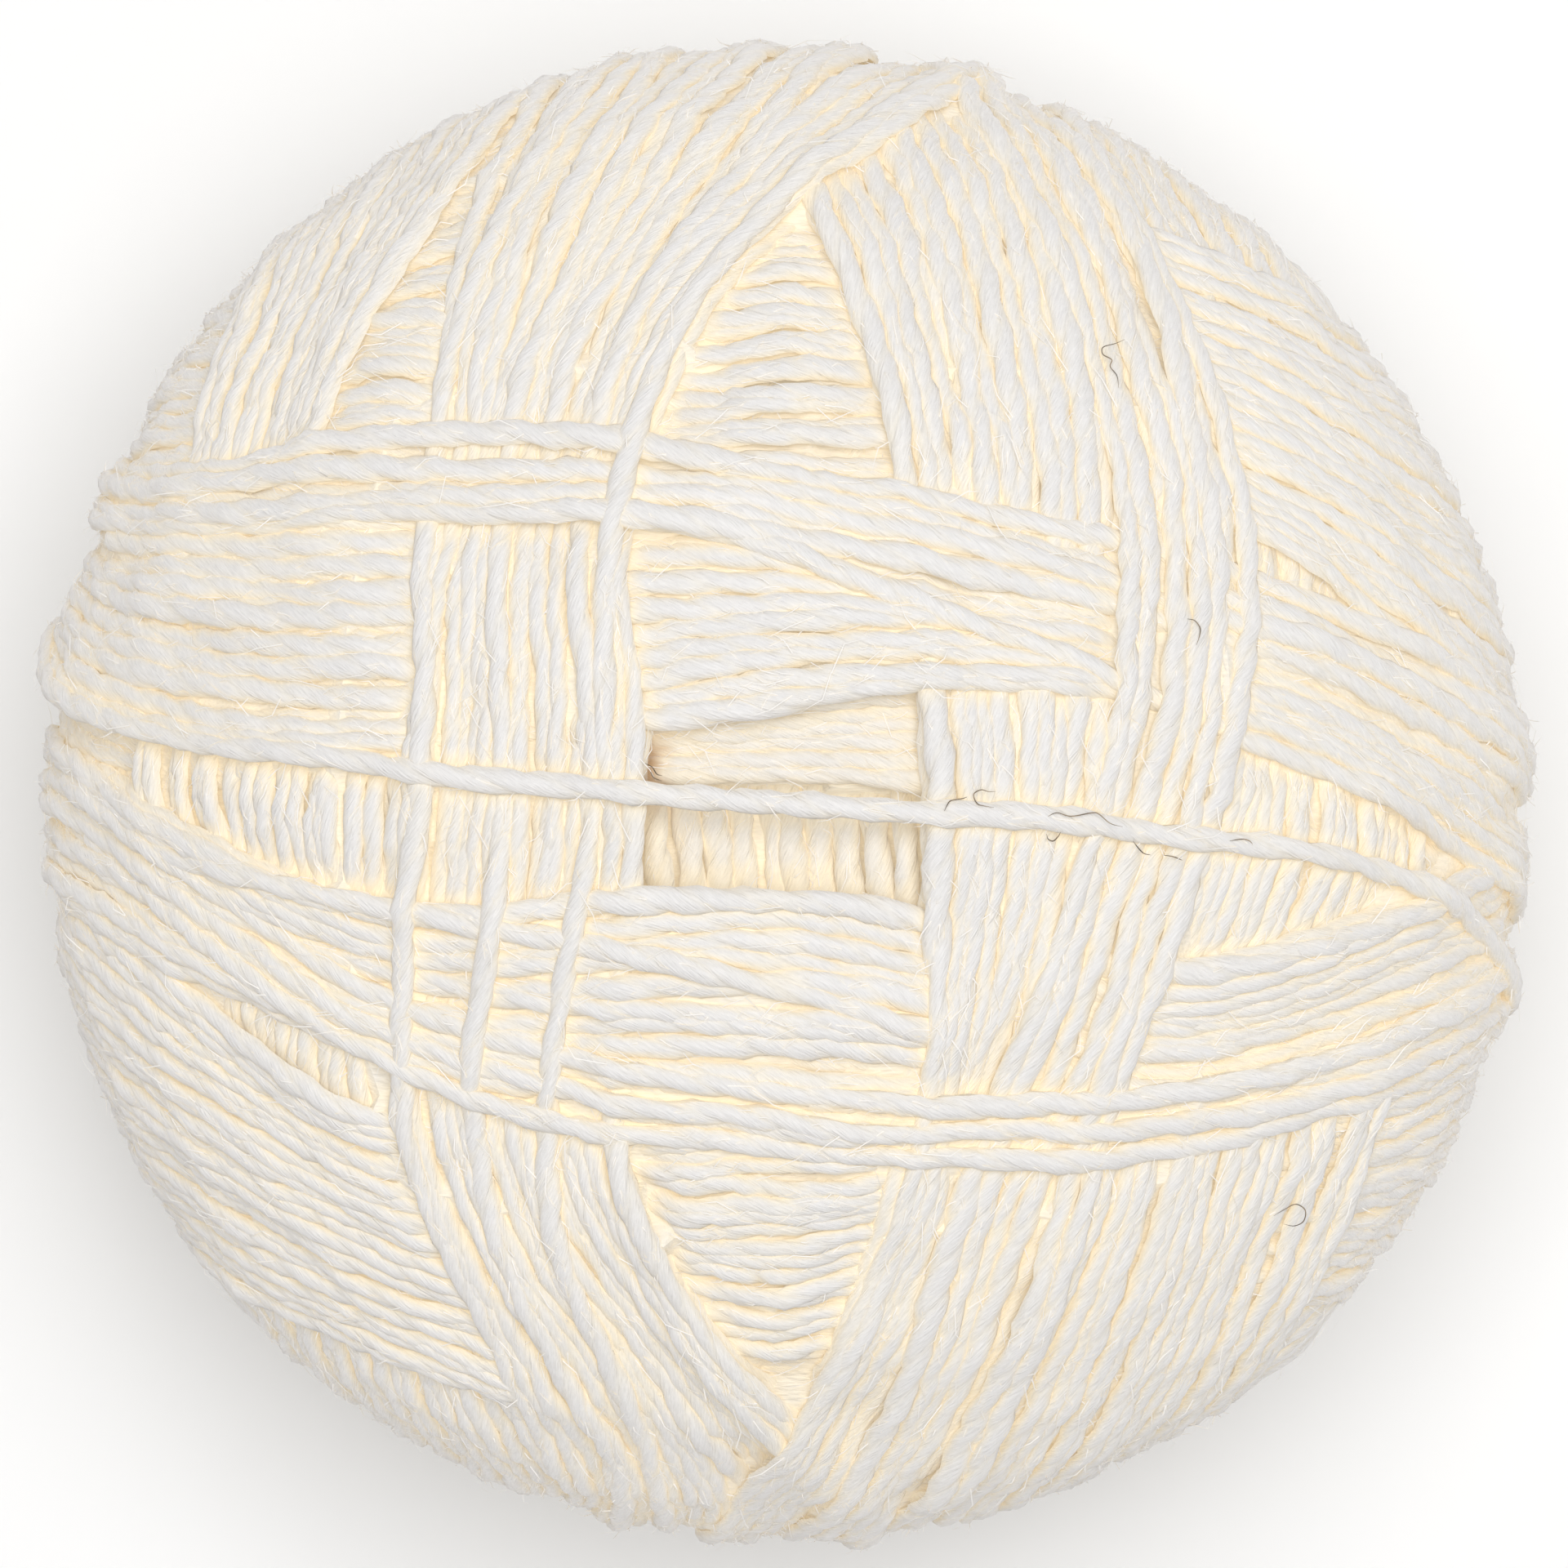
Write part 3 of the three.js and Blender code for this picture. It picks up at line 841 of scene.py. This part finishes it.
WOOL_TOP = (0.885, 0.868, 0.856, 1)      # colour of the strands' tops, and painted shade for half-way down and deep between them
WOOL_SIDE_SHADE = (0.905, 0.855, 0.76, 1)
WOOL_DEEP_SHADE = (0.90, 0.80, 0.61, 1)
DEBRIS_SHADOW_COLOR = (0.42, 0.24, 0.10, 1)
GROOVE_WIDTH = 0.5          # of the yarn's half width, from the middle of the groove between the two plies
GROOVE_SHADE = 0.15         # how far painted shade takes the colour towards that of deep wool there
SHADED_REACH = 1.1          # how near wool has to be to hide a spot from the light
OPEN_SHARES = (0.25, 0.95)  # of open sky at which a spot counts as deep and as free
# The painted glow's colour and strength.
GLOW_COLOR = (0.95, 0.84, 0.65, 1)
CREVICE_GLOW = 0.17         # painted glow, standing in for light that comes through the loose wool, which warms the places between the strands
HOLLOW_GLOW = 0.15         # and the painted glow on the walls of the hollow


def wool_material():
    wool = Shading("wool", Roughness=0.9, Specular_IOR_Level=0.2, Sheen_Weight=0.8,
                   Sheen_Tint=(1.0, 0.95, 0.90, 1), Sheen_Roughness=0.5, Emission_Color=GLOW_COLOR)
    wool.material.cycles.emission_sampling = "NONE"
    place = wool.attribute("yarn", "Vector")
    shade = wool.attribute("shade", "Fac")
    fibre = wool.noise(place, 3.2, (0.42, 1.9, 1.9), Detail=5.0)
    cloud = wool.noise(place, 0.16, (0.5, 1.0, 1.0), Detail=1.0)

    # Painted shade: the colour deepens in the groove between the plies, in the crevices between strands and in
    # the hollow.
    parts = wool.add("SeparateXYZ", {"Vector": place})
    from_groove = wool.math("ABSOLUTE", parts.outputs["Y"])
    ply = wool.ranged(from_groove, (0.0, GROOVE_WIDTH), (0.0, 1.0), "SMOOTHSTEP")
    groove_shade = wool.ranged(ply, (0.0, 1.0), (GROOVE_SHADE, 0.0))
    # Painted shade from ambient occlusion: spots that wool close by hides from the sky take the deeper colours.
    sky = wool.add("AmbientOcclusion", {"Distance": SHADED_REACH * MM}, samples=2).outputs["AO"]
    occlusion_shade = wool.ranged(sky, OPEN_SHARES, (1.0, 0.0))
    depth = wool.math("ADD", wool.math("ADD", shade, groove_shade), occlusion_shade)
    color = wool.ramp(depth, (0.0, WOOL_TOP), (1.0, WOOL_DEEP_SHADE), (0.5, WOOL_SIDE_SHADE))
    streak = wool.ranged(fibre, (0.3, 0.7), (0.91, 1.04))
    drift = wool.ranged(cloud, (0.0, 1.0), (0.95, 1.04))
    values = {0: color, "Scale": wool.math("MULTIPLY", streak, drift)}
    color = wool.add("VectorMath", values, operation="SCALE").outputs["Vector"]
    # The brown spot: partly dark debris, partly painted shadow.
    values = {"Factor": wool.attribute("debris_and_shadow", "Fac"), "A": color, "B": DEBRIS_SHADOW_COLOR}
    color = wool.add("Mix", values, data_type="RGBA").outputs["Result"]

    plies = wool.add("Bump", {"Height": ply, "Strength": 0.25, "Distance": 0.22 * MM}).outputs["Normal"]
    bump = wool.add("Bump", {"Height": fibre, "Strength": 0.5, "Distance": 0.3 * MM, "Normal": plies})
    # Painted glow: the deepest crevices and the hollow give off a warm light of their own.
    deepest = wool.math("POWER", occlusion_shade, 2.0)
    painted_glow = wool.math("MULTIPLY_ADD", deepest, CREVICE_GLOW, wool.math("MULTIPLY", shade, HOLLOW_GLOW))
    wool.surface({"Base Color": color, "Normal": bump.outputs["Normal"], "Emission Strength": painted_glow})
    return wool.material


def fuzz_material():
    """Fine wool seen singly, with a faint painted glow that stands in for the light passing through the hairs
    and keeps them as bright as the yarn.
    """
    fuzz = Shading("fuzz", Base_Color=(0.90, 0.875, 0.845, 1), Roughness=0.8, Specular_IOR_Level=0.2,
                   Emission_Color=(0.95, 0.90, 0.83, 1), Emission_Strength=0.08)
    fuzz.material.cycles.emission_sampling = "NONE"
    return fuzz.material


def hair_material():
    dark = Shading("dark_hair", Roughness=0.5)
    patches = dark.noise(dark.attribute("yarn", "Vector"), 1.6)
    tone = dark.ramp(patches, (0.35, (0.07, 0.055, 0.04, 1)), (0.65, (0.36, 0.27, 0.18, 1)))
    dark.surface({"Base Color": tone})
    return dark.material


wool = wool_material()
pieces = build_yarn(wool)
pieces.append(build_filler(wool))
pieces.append(build_fibres(fuzz_material()))
pieces.append(build_hairs(hair_material()))
for piece in pieces:
    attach(piece, "root")
    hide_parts("yarn_ball")

# Floor, light and camera. Lengths are in metres from here on.
FLOOR_SIZE = 6.0
bpy.ops.mesh.primitive_plane_add(size=FLOOR_SIZE, location=(0, 0, 0))
floor = bpy.context.object
floor.name = "studio_floor"
floor.data.materials.append(Shading("paper", Base_Color=(0.95, 0.95, 0.95, 1), Roughness=0.9).material)

SKY_LIGHT = 0.455
world = bpy.data.worlds.new("studio")
bpy.context.scene.world = world
world.use_nodes = True
world.node_tree.nodes["Background"].inputs["Color"].default_value = (1, 1, 1, 1)
world.node_tree.nodes["Background"].inputs["Strength"].default_value = SKY_LIGHT


def softbox(name, place, size, power, aim=(0, 0, 0.03)):
    light = bpy.data.lights.new(name, "AREA")
    light.size = size
    light.energy = power
    holder = bpy.data.objects.new(name, light)
    holder.location = place
    holder.rotation_euler = (Vector(aim) - Vector(place)).to_track_quat("-Z", "Y").to_euler()
    bpy.context.collection.objects.link(holder)


softbox("key", place=(0.07, 0.15, 1.2), size=0.8, power=9.3)
softbox("fill", place=(0.1, -0.4, 1.0), size=0.7, power=0.5)

BALL_SHARE = 1855 / 1920    # of the photograph's width, in its pixels
BALL_WIDTH = 86.0
SENSOR_WIDTH = 36
camera_data = bpy.data.cameras.new("camera")
camera_data.sensor_width = SENSOR_WIDTH
camera_data.lens = SENSOR_WIDTH * CAMERA_DISTANCE / (BALL_WIDTH / BALL_SHARE)
camera = bpy.data.objects.new("camera", camera_data)
bpy.context.collection.objects.link(camera)
bpy.context.scene.camera = camera
# Straight down, and a little to the far side, as the ball isn't quite in the middle of the photograph.
camera.location = (0, 0.7 * MM, (CENTRE_HEIGHT + CAMERA_DISTANCE) * MM)
camera.rotation_euler = (0, 0, 0)

bpy.context.scene.view_settings.view_transform = "Standard"
bpy.context.scene.view_settings.look = "None"
